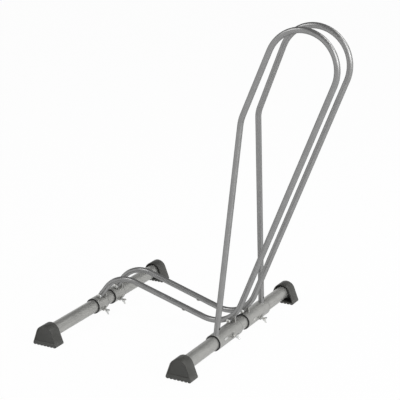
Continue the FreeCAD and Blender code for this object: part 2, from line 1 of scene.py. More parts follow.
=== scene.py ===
# %% [markdown]
# # Floor bike rack, dressed for its portrait
#
# The rack holds one bicycle wheel between two bent tube hoops. The hoops slide on two base tubes
# with moulded feet, and wing screws clamp them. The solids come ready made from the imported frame;
# here they get their paint, plastic and zinc, the small hardware gets its threads and chamfers,
# and a camera and a few soft lamps take the picture.

# %% Load the frame
import json
import math

import bmesh
import bpy
from mathutils import Matrix, Vector


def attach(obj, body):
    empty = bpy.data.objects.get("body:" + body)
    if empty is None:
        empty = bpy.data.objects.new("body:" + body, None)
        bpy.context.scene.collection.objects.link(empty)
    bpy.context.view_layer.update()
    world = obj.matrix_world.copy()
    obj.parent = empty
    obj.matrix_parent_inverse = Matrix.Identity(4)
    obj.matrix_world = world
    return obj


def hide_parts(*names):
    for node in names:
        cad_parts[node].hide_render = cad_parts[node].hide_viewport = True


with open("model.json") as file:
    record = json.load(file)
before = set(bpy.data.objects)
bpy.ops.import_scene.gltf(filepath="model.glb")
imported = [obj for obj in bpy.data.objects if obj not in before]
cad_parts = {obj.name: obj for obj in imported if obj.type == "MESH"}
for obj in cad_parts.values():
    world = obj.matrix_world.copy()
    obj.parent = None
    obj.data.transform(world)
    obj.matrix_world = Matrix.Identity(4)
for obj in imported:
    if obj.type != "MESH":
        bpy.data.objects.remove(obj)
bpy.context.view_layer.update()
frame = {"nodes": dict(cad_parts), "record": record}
nodes = frame["nodes"]
MM = 0.001

# %% [markdown]
# ## Camera
#
# The camera stands off the near end of the rear base tube, over a metre high, and looks down at
# the rack. A long lens at over two metres keeps the perspective as gentle as in a catalogue
# picture. The picture is 400 units wide, and the focal length is given in the same units.

# %% Place the camera
IMAGE_WIDTH = 400
FOCAL_UNITS = 1274.6
SENSOR = 36.0
CAMERA_PLACE = Vector((1.2128, -2.1277, 1.0538))
CAMERA_YAW = math.radians(30.11)
CAMERA_PITCH = math.radians(-17.38)
CAMERA_ROLL = math.radians(-1.05)

camera_data = bpy.data.cameras.new("camera")
camera_data.sensor_width = SENSOR
camera_data.lens = FOCAL_UNITS / IMAGE_WIDTH * SENSOR
camera = bpy.data.objects.new("camera", camera_data)
bpy.context.scene.collection.objects.link(camera)
aim = Matrix.Rotation(CAMERA_YAW, 4, "Z") @ Matrix.Rotation(math.pi / 2 + CAMERA_PITCH, 4, "X")
camera.matrix_world = Matrix.Translation(CAMERA_PLACE) @ aim @ Matrix.Rotation(CAMERA_ROLL, 4, "Z")
bpy.context.scene.camera = camera
print("lens", round(camera_data.lens, 1), "mm")

# %% [markdown]
# ## Shader arithmetic
#
# A finish is mostly sums on masks: a bit of noise, cut off, scaled and added. Written as Python
# expressions these stay readable, so one small class wraps an output socket and turns `+`, `-`
# and `*` into Math nodes. Every other node comes from its single `node` method. Only the Mix node
# needs more care: it holds the sockets for numbers, vectors and colours at once, and its colours
# are inputs 6 and 7 and output 2.

# %% A socket that does sums
MIX_COLOUR_A = 6
MIX_COLOUR_B = 7
MIX_COLOUR_OUT = 2


class Sock:
    """One output socket of a material's node tree."""

    def __init__(self, tree, socket):
        self.tree = tree
        self.socket = socket

    def node(self, kind, settings=None, inputs=None, out=0):
        """A node of any kind: settings first, then its inputs as values or links."""
        made = self.tree.nodes.new(kind)
        for name, value in (settings or {}).items():
            if name == "stops":
                ramp = made.color_ramp.elements
                for place, (position, colour) in enumerate(value):
                    stop = ramp[place] if place < 2 else ramp.new(position)
                    stop.position = position
                    stop.color = colour
            else:
                setattr(made, name, value)
        for name, value in (inputs or {}).items():
            self.give(made.inputs[name], value)
        return Sock(self.tree, made.outputs[out])

    def give(self, socket, value):
        """Links a socket to an input, or writes a plain value on it."""
        if isinstance(value, Sock):
            self.tree.links.new(value.socket, socket)
        else:
            socket.default_value = value

    def math(self, operation, *values):
        """A Math node on this socket and other sockets or numbers."""
        inputs = dict(enumerate((self,) + values))
        return self.node("ShaderNodeMath", {"operation": operation}, inputs)

    def __add__(self, other):
        return self.math("ADD", other)

    def __mul__(self, other):
        return self.math("MULTIPLY", other)

    def __sub__(self, other):
        return self.math("SUBTRACT", other)

    def __rsub__(self, other):
        return (self * -1.0) + other

    __radd__ = __add__
    __rmul__ = __mul__

    def band(self, low, high):
        """0 below low, 1 above high, smooth between."""
        limits = {"Value": self, "From Min": low, "From Max": high}
        return self.node("ShaderNodeMapRange", {"interpolation_type": "SMOOTHSTEP"}, limits)

    def noise(self, per_metre, detail):
        """Noise on these coordinates, with this many cells to the metre."""
        inputs = {"Vector": self, "Scale": per_metre, "Detail": detail}
        return self.node("ShaderNodeTexNoise", None, inputs)

    def mix(self, first, second):
        """Colour between two colours or colour sockets, by this mask."""
        made = self.tree.nodes.new("ShaderNodeMix")
        made.data_type = "RGBA"
        self.tree.links.new(self.socket, made.inputs["Factor"])
        for place, value in ((MIX_COLOUR_A, first), (MIX_COLOUR_B, second)):
            opaque = value if isinstance(value, Sock) else (*value, 1.0)
            self.give(made.inputs[place], opaque)
        return Sock(self.tree, made.outputs[MIX_COLOUR_OUT])


def new_finish(name, **fixed):
    """An empty material: the material, its shader node and its object coordinates."""
    material = bpy.data.materials.new(name)
    material.use_nodes = True
    tree = material.node_tree
    shader = tree.nodes["Principled BSDF"]
    for socket, value in fixed.items():
        shader.inputs[socket.replace("_", " ")].default_value = value
    coordinates = tree.nodes.new("ShaderNodeTexCoord").outputs["Object"]
    return material, shader, Sock(tree, coordinates)


def feed(shader, **sources):
    """Links sockets to the shader's inputs; Base_Color means Base Color."""
    for name, source in sources.items():
        source.tree.links.new(source.socket, shader.inputs[name.replace("_", " ")])


def bump(height, depth):
    """A normal from a height, where height 1 stands this many metres proud."""
    inputs = {"Height": height, "Distance": depth, "Strength": 1.0}
    return height.node("ShaderNodeBump", None, inputs)


def toned(colour, factor, lift=0.0):
    """A plain colour with every channel scaled and then lifted."""
    return [channel * factor + lift for channel in colour]


# %% [markdown]
# ## Powder coat
#
# The tubes are steel under a baked powder coat with fine metal flake. Close up such a coat has a
# slight orange peel, a sparkle of flakes under a millimetre across, and a very soft mottling.
# It reflects like dull metal, so part of its colour goes into the metallic channel. Where a
# sleeve has been slid along the tube, the coat is very faintly rubbed in long streaks: noise
# whose coordinate along the tube is squeezed, so that its cells come out long.
#
# In every finish below, roughness and metal are the plain value of the finish, less a little,
# plus masks that each give some of it back.

# %% Powder coat for the base tubes, sleeves and hoops
MOTTLE_PER_METRE = 45
FLAKE_PER_METRE = 1500
RUB_PER_METRE = 700
RUB_SQUEEZE = (1.0, 0.06, 1.0)
PEEL_PER_METRE = 420
PEEL_DEPTH = 0.00001
COAT_DARKEST = 0.90
COAT_LIGHTEST = 1.08


def powder_coat(name, colour, metal, rough, edge):
    """Metallic grey powder coat; edge is how light its reflections stay at a grazing angle."""
    edge_tint = (edge, edge, edge, 1)
    material, shader, place = new_finish(name, Specular_IOR_Level=0.5, Specular_Tint=edge_tint)
    mottle = place.noise(MOTTLE_PER_METRE, 3).band(0.3, 0.7)
    cells = {"Vector": place, "Scale": FLAKE_PER_METRE}
    flakes = place.node("ShaderNodeTexVoronoi", None, cells, out="Color")
    flake = flakes.node("ShaderNodeSeparateColor", None, {"Color": flakes})
    squeezed = place.node("ShaderNodeMapping", None, {"Vector": place, "Scale": RUB_SQUEEZE})
    rub = squeezed.noise(RUB_PER_METRE, 3).band(0.62, 0.78)
    tone = (mottle * 0.40) + (flake * 0.35) + (rub * 0.25)
    peel = place.noise(PEEL_PER_METRE, 2)
    feed(shader,
         Base_Color=tone.mix(toned(colour, COAT_DARKEST), toned(colour, COAT_LIGHTEST)),
         Roughness=(flake * 0.03) + (mottle * 0.04) + (rub * -0.06) + (rough - 0.04),
         Metallic=(flake * 0.06) + (metal - 0.03),
         Normal=bump(peel, PEEL_DEPTH))
    return material


# %% [markdown]
# ## Moulded plastic
#
# The feet are matt charcoal plastic with the fine spark-eroded grain of their mould. The bush
# rings are a smoother black. A foot stands on the floor, so dust greys its lowest millimetres.

# %% Plastics
GRAIN_PER_METRE = 1400
GRAIN_DEPTH = 0.00002
CLOUD_PER_METRE = 60
DUST_FULL = 0.006
DUST_GONE = 0.013


def moulded_plastic(name, colour, rough, dust=0.0):
    """Matt moulded plastic with a fine grain, and dust near the floor."""
    material, shader, place = new_finish(name, Metallic=0.0, Specular_IOR_Level=0.5)
    grain = place.noise(GRAIN_PER_METRE, 2)
    cloud = place.noise(CLOUD_PER_METRE, 3).band(0.3, 0.7)
    height = place.node("ShaderNodeSeparateXYZ", None, {"Vector": place}, out="Z")
    low = (1.0 - height.band(DUST_FULL, DUST_GONE)) * (cloud * 0.5 + 0.5) * dust
    worn = toned(colour, 1.25, 0.004)
    dusty = toned(colour, 1.2, 0.035)
    feed(shader,
         Base_Color=low.mix((cloud * 0.6 + grain * 0.4).mix(colour, worn), dusty),
         Roughness=(grain * 0.16) + (low * 0.1) + (rough - 0.08),
         Normal=bump(grain, GRAIN_DEPTH))
    return material


# %% [markdown]
# ## Zinc plate and black oxide
# Bolts, nuts and wing screws are zinc plated: bright and a little cloudy, with faint blue and
# warm patches where the passivation varies. The set screws in the legs are steel with a thin
# black oxide, which is the same idea in a much darker colour; that near-black also stands in
# for the shade inside the hole in each leg, so it is partly painted shade.

# %% Plated steel
PATCHES_PER_METRE = 260
MARKS_PER_METRE = 2600
MARK_DEPTH = 0.00001
COOL_TINT = (0.94, 0.97, 1.0)
WARM_TINT = (1.0, 0.985, 0.94)


def plated_steel(name, colour, metal, rough):
    """Plated steel with a cloudy skin and the fine marks of tumbling."""
    material, shader, place = new_finish(name)
    patches = place.noise(PATCHES_PER_METRE, 4).band(0.35, 0.65)
    marks = place.noise(MARKS_PER_METRE, 2)
    cool = [channel * tint for channel, tint in zip(colour, COOL_TINT)]
    warm = [channel * tint for channel, tint in zip(colour, WARM_TINT)]
    feed(shader,
         Base_Color=patches.mix(cool, warm),
         Roughness=(marks * 0.12) + (patches * 0.06) + (rough - 0.09),
         Metallic=(patches * 0.06) + (metal - 0.06),
         Normal=bump(marks, MARK_DEPTH))
    return material


# %% [markdown]
# ## Give every solid its finish
#
# Each node of the frame names a material slot in its record, so one table from slot to finish
# covers them all.

# %% Finishes by slot
BASE_GREY = (0.375, 0.375, 0.358)
HOOP_GREY = (0.30, 0.30, 0.298)
CHARCOAL = (0.038, 0.038, 0.034)
BLACK = (0.012, 0.012, 0.012)
ZINC = (0.62, 0.62, 0.61)

finishes = {
    "base_steel": powder_coat("base_powder_coat", BASE_GREY, metal=0.50, rough=0.32, edge=0.7),
    "hoop_steel": powder_coat("hoop_powder_coat", HOOP_GREY, metal=0.74, rough=0.33, edge=0.15),
    "foot_plastic": moulded_plastic("foot_plastic", CHARCOAL, rough=0.52, dust=0.8),
    "bush_plastic": moulded_plastic("bush_plastic", BLACK, rough=0.40),
    "zinc_fasteners": plated_steel("zinc_fasteners", ZINC, metal=0.9, rough=0.38),
    "wing_screw_zinc": plated_steel("wing_screw_zinc", ZINC, metal=0.85, rough=0.42),
    # near-black set screws: black oxide, and also painted shade for the holes they sit in
    "black_screws": plated_steel("black_screws", BLACK, metal=0.8, rough=0.42),
}
slot_of = {entry["node"]: entry["material_slot"] for entry in frame["record"]["subparts"]}
for node_name, slot_name in slot_of.items():
    nodes[node_name].data.materials.clear()
    nodes[node_name].data.materials.append(finishes[slot_name])
print(len(finishes), "finishes on", len(slot_of), "nodes")

# %% [markdown]
# ## Ways of making
#
# Almost all of the hardware is turned on a lathe. In Blender that is a circle that is extruded
# upwards again and again, and scaled after each step: every step is a station of the profile.
# Six-sided forms start from the same 24-sided circle, because 24 points hold the corners, the
# middles of the flats and the points between them. Lengths are in millimetres here, as on a
# drawing of the part, and become metres where they reach an operator.

# %% Start a piece, and pick parts of it
MERGE = 1e-6        # metres between two vertices that become one
SMOOTH_BELOW = 35   # degrees


def put_down():
    """Object mode and nothing selected, so that the next operator meets only its own piece."""
    if bpy.context.mode != "OBJECT":
        bpy.ops.object.mode_set(mode="OBJECT")
    bpy.ops.object.select_all(action="DESELECT")


def take(piece):
    """This piece alone is selected and active."""
    put_down()
    piece.select_set(True)
    bpy.context.view_layer.objects.active = piece


def pick(piece, wanted):
    """In edit mode, selects the vertices whose place in millimetres is wanted."""
    cage = bmesh.from_edit_mesh(piece.data)
    for part in (*cage.faces, *cage.edges, *cage.verts):
        part.select_set(False)
    for vertex in cage.verts:
        if wanted(vertex.co / MM):
            vertex.select_set(True)
    cage.select_flush(True)
    bmesh.update_edit_mesh(piece.data)


def shift(x, y, z):
    """Moves the selection by these millimetres."""
    bpy.ops.transform.translate(value=(x * MM, y * MM, z * MM))


def extrude(x, y, z):
    """Extrudes the selection by these millimetres."""
    move = {"value": (x * MM, y * MM, z * MM)}
    bpy.ops.mesh.extrude_region_move(TRANSFORM_OT_translate=move)


def widen(share, height):
    """Scales the selection in X and Y about the Z axis, at this height in millimetres."""
    bpy.ops.transform.resize(value=(share, share, 1), center_override=(0, 0, height * MM))


def apply_place():
    """Writes the active piece's place into its mesh."""
    bpy.ops.object.transform_apply(location=True, rotation=True, scale=True)


def finish_mesh(piece, angle=SMOOTH_BELOW):
    """Merges doubles, turns all faces outwards and smooths everything but the sharp edges."""
    bpy.ops.mesh.select_all(action="SELECT")
    bpy.ops.mesh.remove_doubles(threshold=MERGE)
    bpy.ops.mesh.normals_make_consistent(inside=False)
    bpy.ops.object.mode_set(mode="OBJECT")
    bpy.ops.object.shade_smooth_by_angle(angle=math.radians(angle))


# %% [markdown]
# ## Turning
#
# A hexagon comes out of a ring by pulling two kinds of points outwards: those 15 degrees off the
# middle of a flat, and the corners at 30 degrees. A socket is a hexagon drawn on the top face and
# pushed down into it.

# %% Turn a profile
SIDES = 24
LEVEL = 0.01        # how near a height a vertex has to be to lie on it
SOCKET_LIP = 0.02   # how far a socket's rim stands above the top, so that it can be picked
HALF_FLAT = 30      # degrees from the middle of a flat to a corner


def step_up(stations, radius, height):
    """Extrudes and scales the selected ring through the stations (radius, height)."""
    for next_radius, next_height in stations:
        extrude(0, 0, next_height - height)
        widen(next_radius / radius, next_height)
        radius, height = next_radius, next_height


def six_sided(piece, height, sink=0.0):
    """Pulls the ring at this height out to a hexagon, and its corners down by sink."""
    corner_share = 1 / math.cos(math.radians(HALF_FLAT))
    for off_flat in (HALF_FLAT / 2, HALF_FLAT):
        def on_ring(place):
            angle = math.degrees(math.atan2(place.y, place.x)) % (2 * HALF_FLAT)
            at_angle = abs(abs(angle - HALF_FLAT) - off_flat) < 1
            return abs(place.z - height) < LEVEL and at_angle
        pick(piece, on_ring)
        share = 1 / math.cos(math.radians(off_flat))
        widen(share, height)
        shift(0, 0, -sink * (share - 1) / (corner_share - 1))


def turned(name, stations, socket=None, ring=False, sides=SIDES):
    """A turned piece round Z; socket is the half width and depth of a hexagon sunk in its top."""
    put_down()
    radius, height = stations[0]
    bpy.ops.mesh.primitive_circle_add(
        vertices=sides, radius=radius * MM, fill_type="NOTHING" if ring else "NGON",
        location=(0, 0, 0))
    piece = bpy.context.object
    piece.name = name
    bpy.ops.object.mode_set(mode="EDIT")
    shift(0, 0, height)
    step_up(stations[1:], radius, height)
    if socket:
        half, depth = socket
        top_radius, top = stations[-1]
        rim = top + SOCKET_LIP
        step_up([(half, rim)], top_radius, top)
        six_sided(piece, rim)
        pick(piece, lambda place: place.z > rim - LEVEL)
        extrude(0, 0, -depth)
    finish_mesh(piece)
    return piece


# %% Parts of a profile
DOME_STEPS = 6
DOME_SWEEP = math.radians(62)
CREST_FROM = 0.35   # where in one turn of a thread its crest begins and ends,
CREST_TO = 0.5      # and where the root is reached again
ROOT_FROM = 0.85


def dome(rim, top_radius, low, high):
    """Stations of a rounded top from a rim to a smaller flat."""
    stations = []
    for step in range(1, DOME_STEPS + 1):
        angle = DOME_SWEEP * step / DOME_STEPS
        share = (1 - math.cos(angle)) / (1 - math.cos(DOME_SWEEP))
        rise = math.sin(angle) / math.sin(DOME_SWEEP)
        stations.append((rim - (rim - top_radius) * share, low + (high - low) * rise))
    return stations


def thread(crest, root, low, high, pitch):
    """Stations of a row of thread crests."""
    stations = []
    for turn in range(int((high - low) / pitch)):
        foot = low + turn * pitch
        for radius, share in ((crest, CREST_FROM), (crest, CREST_TO), (root, ROOT_FROM)):
            stations.append((radius, foot + share * pitch))
    return stations


# %% [markdown]
# ## Put pieces where the drawing says
#
# Each kind of screw is modelled once, standing on the origin. A copy with its own mesh then goes
# to each place, and the place is applied to the mesh, so that the object itself stays at the
# world origin. Copies that stand for one node of the frame are joined into one piece. All places
# below are those of the solids.

# %% Copies at their places
REAR_X = 59.824
FRONT_X = -264.176
AXIS_Z = 24.0
SLEEVE_R = 17.0


def placed(x, y, z):
    """A move to this place in millimetres."""
    return Matrix.Translation(Vector((x, y, z)) * MM)


def along_y(x, y, z, sign):
    """The model's Z points along +Y or -Y, its X along the rack."""
    return placed(x, y, z) @ Matrix.Rotation(-sign * math.pi / 2, 4, "X")


def on_base(axis_x, y, angle, turn=0.0):
    """The model's Z points out from a base axis, at an angle above +X."""
    outward = Matrix.Rotation(math.radians(90 - angle), 4, "Y")
    spin = Matrix.Rotation(math.radians(turn), 4, "Z")
    return placed(axis_x, y, AXIS_Z) @ outward @ spin


def pointing(start, direction):
    """The model's Z points along a direction in the XZ plane."""
    lean = math.atan2(direction[0], direction[2])
    return placed(*start) @ Matrix.Rotation(lean, 4, "Y")


def copy_to(model, matrix):
    """A copy with its own mesh, its place applied."""
    take(model)
    bpy.ops.object.duplicate()
    made = bpy.context.object
    made.matrix_world = matrix
    apply_place()
    return made


def fit(name, body, slot_name, parts, *stands_for):
    """Joins parts into one piece, which rides on a body and stands for these nodes."""
    take(parts[0])
    for part in parts:
        part.select_set(True)
    if len(parts) > 1:
        bpy.ops.object.join()
    piece = bpy.context.object
    piece.name = piece.data.name = name
    piece.data.materials.clear()
    piece.data.materials.append(finishes[slot_name])
    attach(piece, body)
    if stands_for:
        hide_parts(*stands_for)
    print(name, len(piece.data.polygons), "faces")
    return piece


# %% [markdown]
# ## Feet
#
# A foot is one plastic moulding, and no mould leaves a knife edge. The solid has the right walls,
# ribs and sole grooves, so its shell is copied, its flat faces are joined up again, and a narrow
# bevel rounds every edge over 30 degrees. The bevel catches the light as the real rim does.

# %% Round the feet
FOOT_EDGE = 0.6
FOOT_EDGE_STEPS = 2
ROUND_ABOVE = math.radians(30)
FLAT_BELOW = math.radians(1)


def cad_copy(node_name):
    """A copy of a solid's mesh as one clean shell: doubles merged, flat faces joined."""
    take(nodes[node_name])
    bpy.ops.object.duplicate()
    made = bpy.context.object
    made.parent = None
    made.matrix_world = Matrix.Identity(4)
    bpy.ops.mesh.customdata_custom_splitnormals_clear()
    bpy.ops.object.mode_set(mode="EDIT")
    bpy.ops.mesh.select_all(action="SELECT")
    bpy.ops.mesh.remove_doubles(threshold=MERGE)
    bpy.ops.mesh.dissolve_limited(angle_limit=FLAT_BELOW)
    bpy.ops.mesh.normals_make_consistent(inside=False)
    bpy.ops.object.mode_set(mode="OBJECT")
    return made


for base in ("rear", "front"):
    for side in ("near", "far"):
        node_name = f"{base}_{side}_foot"
        shell = cad_copy(node_name)
        bevel = shell.modifiers.new("edge", "BEVEL")
        bevel.width = FOOT_EDGE * MM
        bevel.segments = FOOT_EDGE_STEPS
        bevel.limit_method = "ANGLE"
        bevel.angle_limit = ROUND_ABOVE
        bevel.use_clamp_overlap = True
        take(shell)
        bpy.ops.object.modifier_apply(modifier=bevel.name)
        bpy.ops.object.shade_smooth_by_angle(angle=math.radians(SMOOTH_BELOW))
        fit(f"{base}_{side}_foot_shell", f"{base}_base", "foot_plastic", [shell], node_name)

# %% [markdown]
# ## Bushes
#
# A thin black flange shows at each end of a sleeve, and behind it the bush reaches into the
# sleeve. It is a turned ring, so its profile goes from the bore over the face and down the
# outside, steps in behind the flange, and comes back to the bore, where the last station meets
# the first. It is as wide as the sleeve, so it has more sides than the small hardware.

# %% Turn the bushes
BUSH_SIDES = 64
BUSH_BORE = 14.1
BUSH_OUTSIDE = 15.5
BORE_CHAMFER = 0.25
FLANGE = 1.0
FLANGE_ROUND = 0.3
DEEP_BUSH = 34.0
SHORT_BUSH = 8.0


def bush(depth):
    """One flanged bush, its flange at 0 and its far end inside the sleeve."""
    corner = 0.08
    return turned("bush", [
        (BUSH_BORE, BORE_CHAMFER),
        (BUSH_BORE + BORE_CHAMFER, 0),
        (SLEEVE_R - FLANGE_ROUND, 0),
        (SLEEVE_R - corner, corner),
        (SLEEVE_R, FLANGE_ROUND),
        (SLEEVE_R, FLANGE),
        (BUSH_OUTSIDE, FLANGE),
        (BUSH_OUTSIDE, FLANGE + depth),
        (BUSH_BORE, FLANGE + depth),
        (BUSH_BORE, BORE_CHAMFER),
    ], ring=True, sides=BUSH_SIDES)


deep_bush = bush(DEEP_BUSH)
short_bush = bush(SHORT_BUSH)
# Base axis, and the Y of both ends, of the rear and the front sleeve of each frame.
SLEEVE_ENDS = {
    "near": [(REAR_X, -98.9, -3.9), (FRONT_X, -46.4, -9.2)],
    "far": [(REAR_X, 24.7, 119.7), (FRONT_X, 17.2, 54.4)],
}
for side, sleeves in SLEEVE_ENDS.items():
    rings = []
    for model, (axis_x, first, last) in zip((deep_bush, short_bush), sleeves):
        rings.append(copy_to(model, along_y(axis_x, first, AXIS_Z, 1)))
        rings.append(copy_to(model, along_y(axis_x, last, AXIS_Z, -1)))
    fit(f"{side}_bush_rings", f"{side}_frame", "bush_plastic", rings, f"{side}_bushes")

# %% [markdown]
# ## Frame bolts and nuts
#
# Button-headed bolts hold the hoop's valley and the arch's foot to tabs on the sleeves. A button
# head is a low dome with a hexagon socket. The nuts are six-sided with turned chamfers: their
# corners sit lower than the middles of their flats, as a lathe tool leaves them. The bore of a
# nut comes from insetting both ends and bridging the two rims through the middle.

# %% Bolts and nuts
HEAD_R = 4.75
HEAD_HIGH = 3.2
SHANK_R = 2.5
THREADED = 4.5
BOLT_PITCH = 0.8
THREAD_DEEP = 0.35
TIP_CHAMFER = 0.45
EDGE = 0.25         # chamfer under a head
RIM_SHARE = 0.3     # of the head's height
TOP_SHARE = 0.5     # of the head's radius
NUT_CORNER = 0.32
NUT_RIM = 0.1
NUT_FACE_IN = 0.2


def button_bolt(name, grip, head_r=HEAD_R, head_high=HEAD_HIGH, shank_r=SHANK_R,
                threaded=THREADED):
    """A bolt whose head sits on 0 and whose shank hangs down to -grip."""
    tip = THREAD_DEEP - grip
    thread_end = threaded - grip
    rim = RIM_SHARE * head_high
    return turned(name, [
        (shank_r - TIP_CHAMFER, -grip),
        (shank_r - 0.1, tip),
        *thread(shank_r, shank_r - THREAD_DEEP, tip, thread_end, BOLT_PITCH),
        (shank_r, thread_end + 0.2),
        (shank_r, 0),
        (head_r - EDGE, 0),
        (head_r, EDGE),
        (head_r, rim),
        *dome(head_r, head_r * TOP_SHARE, rim, head_high),
        (head_r * 0.40, head_high),
    ], socket=(head_r * 0.33, head_high * 0.5))


def nut(name, half, low, high, bore):
    """A six-sided nut between two heights, with a through bore."""
    face = half - NUT_FACE_IN
    piece = turned(name, [(face, low), (half, low + NUT_RIM), (half, high - NUT_RIM), (face, high)])
    bpy.ops.object.mode_set(mode="EDIT")
    six_sided(piece, high - NUT_RIM, NUT_CORNER)
    six_sided(piece, low + NUT_RIM, -NUT_CORNER)
    for height in (low, high):
        pick(piece, lambda place: abs(place.z - height) < LEVEL)
        bpy.ops.mesh.inset(thickness=(face - bore) * MM)
    pick(piece, lambda place: Vector((place.x, place.y)).length < bore + 0.05)
    bpy.ops.mesh.bridge_edge_loops()
    finish_mesh(piece, 25)
    return piece


# %% Bolts and nuts at their places
TAB = 3.0
NUT_HIGH = 3.5
NUT_HALF = 4.0
TAIL = 1.0
VALLEY_HALF = 6.6
ARCH_HALF = 6.0
BEYOND = TAB + NUT_HIGH + TAIL
valley_bolt = button_bolt("valley_bolt", 2 * VALLEY_HALF + BEYOND)
arch_bolt = button_bolt("arch_bolt", 2 * ARCH_HALF + BEYOND)
frame_nut = nut("frame_nut", NUT_HALF, 0, NUT_HIGH, SHANK_R + 0.05)
# Middle of the tube at each bolt, and half the width that the bolt goes through there.
BOLT_PLACES = {
    "near": [(57.385, -23.6, 46.262, VALLEY_HALF), (-255.993, -25.8, 44.637, ARCH_HALF)],
    "far": [(57.385, 35.6, 46.262, VALLEY_HALF), (-255.993, 37.8, 44.637, ARCH_HALF)],
}
for side, places in BOLT_PLACES.items():
    bolts = []
    nuts = []
    for model, (x, y, z, half) in zip((valley_bolt, arch_bolt), places):
        bolts.append(copy_to(model, along_y(x, y - half, z, -1)))
        nuts.append(copy_to(frame_nut, along_y(x, y + half + TAB, z, 1)))
    fit(f"{side}_button_bolts", f"{side}_frame", "zinc_fasteners", bolts, f"{side}_frame_bolts")
    fit(f"{side}_hex_nuts", f"{side}_frame", "zinc_fasteners", nuts, f"{side}_frame_nuts")

# %% [markdown]
# ## Rail screws and set screws
#
# One more button screw goes up through the rail where the two tubes are plugged together, and a
# black set screw with a hexagon socket sits just below the surface of each leg.

# %% Screws in the tubes
TUBE_R = 6.0
RAIL_DOWN = (-0.277, 0, -0.961)
LEG_OUT = (0.998, 0, -0.0615)
RAIL_SCREWS = {"near": (-48.989, -24.473, 55.145), "far": (-48.989, 36.473, 55.145)}
SET_SCREWS = {"near": (64.772, -89.697, 54.0), "far": (64.772, 101.697, 54.0)}

rail_model = button_bolt("rail_model", 3.6, head_r=4.0, head_high=2.2, shank_r=2.0, threaded=1.8)
set_profile = [(2.1, 0), (2.5, 0.4), (2.5, 5.1), (2.2, 5.4), (1.5, 5.4)]
set_model = turned("set_model", set_profile, socket=(1.25, 1.6))
for side in ("near", "far"):
    frame_body = f"{side}_frame"
    seat = Vector(RAIL_SCREWS[side]) + Vector(RAIL_DOWN) * TUBE_R
    rail_screw = copy_to(rail_model, pointing(seat, RAIL_DOWN))
    fit(f"{side}_rail_button_screw", frame_body, "zinc_fasteners", [rail_screw],
        f"{side}_rail_screw")
    # the set screw's near-black finish is black oxide plus painted shade of the hole in the leg
    set_screw = copy_to(set_model, pointing(SET_SCREWS[side], LEG_OUT))
    fit(f"{side}_leg_set_screw", frame_body, "black_screws", [set_screw], f"{side}_leg_screw")

# %% [markdown]
# ## Bush keys
#
# An oblong key holds each long bush in its sleeve. Its outline is a circle pulled apart into two
# half circles; that outline is extruded, and its top is drawn in twice for a rounded edge.

# %% Keys
KEY_SIDES = 16
KEY_HALF_WIDTH = 2.0
KEY_HALF_RUN = 5.0
KEY_SINK = 0.4
KEY_WALL = 1.05
KEY_ROUND = ((0.12, 0.2), (0.25, 0.15))     # drawn in, and raised

put_down()
bpy.ops.mesh.primitive_circle_add(
    vertices=KEY_SIDES, radius=KEY_HALF_WIDTH * MM, fill_type="NGON", location=(0, 0, 0))
key_model = bpy.context.object
bpy.ops.object.mode_set(mode="EDIT")
bpy.ops.transform.rotate(value=math.pi / KEY_SIDES, orient_axis="Z", center_override=(0, 0, 0))
shift(0, 0, SLEEVE_R - KEY_SINK)
for sign in (1, -1):
    pick(key_model, lambda place: place.y * sign > 0)
    shift(0, sign * KEY_HALF_RUN, 0)
bpy.ops.mesh.select_all(action="SELECT")
extrude(0, 0, KEY_WALL)
for draw_in, rise in KEY_ROUND:
    bpy.ops.mesh.inset(thickness=draw_in * MM)
    shift(0, 0, rise)
finish_mesh(key_model)

KEYS = {"near": (-73.9, 15), "far": (49.7, 3)}     # Y, and angle above +X
for side, (y, angle) in KEYS.items():
    key = copy_to(key_model, on_base(REAR_X, y, angle))
    fit(f"{side}_oblong_key", f"{side}_frame", "zinc_fasteners", [key], f"{side}_bush_key")

# %% [markdown]
# ## Weld nuts and weld beads
#
# The nut under each wing screw is welded to the sleeve, and so are the tabs and the pegs inside
# the legs. A weld bead is a ring or a bar whose thickness ripples a little. To lie on a round
# sleeve it has to follow the sleeve's curve, so every vertex is lowered by as much as the sleeve
# falls away beside its middle line.

# %% Beads on a round sleeve
RING_STEPS = 80
RIPPLE_EVERY = 4
RIPPLE = 0.18       # of the ring's thickness
BAR_END = 0.2       # of the bar's thickness
BAR_DIP = 0.86


def drape(piece):
    """Lowers each vertex onto the sleeve, from a flat plane through the sleeve's top line."""
    radius = SLEEVE_R * MM
    for vertex in piece.data.vertices:
        vertex.co.z -= radius - math.sqrt(max(radius ** 2 - vertex.co.x ** 2, 0))
    return piece


def bead_ring(name, radius, thick):
    """A ring of weld lying on a sleeve, raised a little at every fourth step."""
    put_down()
    bpy.ops.mesh.primitive_torus_add(
        major_radius=radius * MM, minor_radius=thick * MM, major_segments=RING_STEPS,
        minor_segments=8, location=(0, 0, SLEEVE_R * MM))
    piece = bpy.context.object
    piece.name = name
    apply_place()
    bpy.ops.object.mode_set(mode="EDIT")
    step = 2 * math.pi / RING_STEPS
    pick(piece, lambda place: round(math.atan2(place.y, place.x) / step) % RIPPLE_EVERY == 0)
    shift(0, 0, RIPPLE * thick)
    finish_mesh(piece, 60)
    return drape(piece)


def bead_bar(name, length, thick):
    """A straight bar of weld across a sleeve, a little thinner at every second millimetre."""
    stations = [(BAR_END * thick, 0)]
    for step in range(1, length):
        stations.append((thick * (1.0 if step % 2 else BAR_DIP), float(step)))
    stations.append((BAR_END * thick, float(length)))
    piece = turned(name, stations)
    piece.matrix_world = placed(-length / 2, 0, SLEEVE_R) @ Matrix.Rotation(math.pi / 2, 4, "Y")
    take(piece)
    apply_place()
    return drape(piece)


# %% Weld nuts and their beads
WELD_NUT_HALF = 5.0
WELD_NUT_LOW = SLEEVE_R - 1.4
WELD_NUT_TOP = SLEEVE_R + 3.0
WELD_NUT_BORE = 3.1
weld_nut = nut("weld_nut", WELD_NUT_HALF, WELD_NUT_LOW, WELD_NUT_TOP, WELD_NUT_BORE)
nut_bead = bead_ring("nut_bead", 5.7, 0.7)
